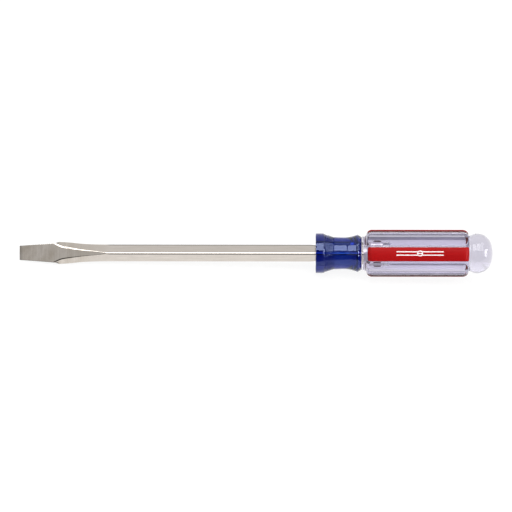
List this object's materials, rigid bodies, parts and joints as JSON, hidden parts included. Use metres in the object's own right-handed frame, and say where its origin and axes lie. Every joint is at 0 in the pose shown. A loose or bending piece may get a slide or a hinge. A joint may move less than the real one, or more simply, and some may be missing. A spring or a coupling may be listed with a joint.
{
  "type": "slotted screwdriver",
  "caption": "Long slotted screwdriver: square plated shank with a forged and ground flat tip, blue waisted collar and clear fluted handle with red inlaid stripes and a domed butt.",
  "frame": {"origin": "centre of the blade's tip face", "axes": "+X along the tool's axis from the tip towards the butt; the square shank's four flats and the handle's four flutes face +Z, -Z, +Y and -Y; the blade's flat and the marked stripe face halfway between +Z and -Y"},
  "size_m": [0.3249, 0.0298, 0.0298],
  "materials": {
    "plated_steel": "bright nickel plate over a ground and forged steel bar",
    "blue_acetate": "polished translucent blue",
    "clear_acetate": "polished, clear with a faint lilac tint",
    "red_acetate": "polished",
    "pale_acetate": "opaque, off-white with a faint lilac tint",
    "white_foil": "hot-stamped, satin"
  },
  "bodies": {
    "root": {"shank": "plated_steel", "collar": "blue_acetate", "handle_body": "clear_acetate", "stripe_marked": "red_acetate", "stripe_upper_back": "red_acetate", "stripe_lower_back": "red_acetate", "stripe_lower_front": "red_acetate", "backing_marked": "pale_acetate", "backing_upper_back": "pale_acetate", "backing_lower_back": "pale_acetate", "backing_lower_front": "pale_acetate", "white_mark": "white_foil"}
  },
  "joints": []
}
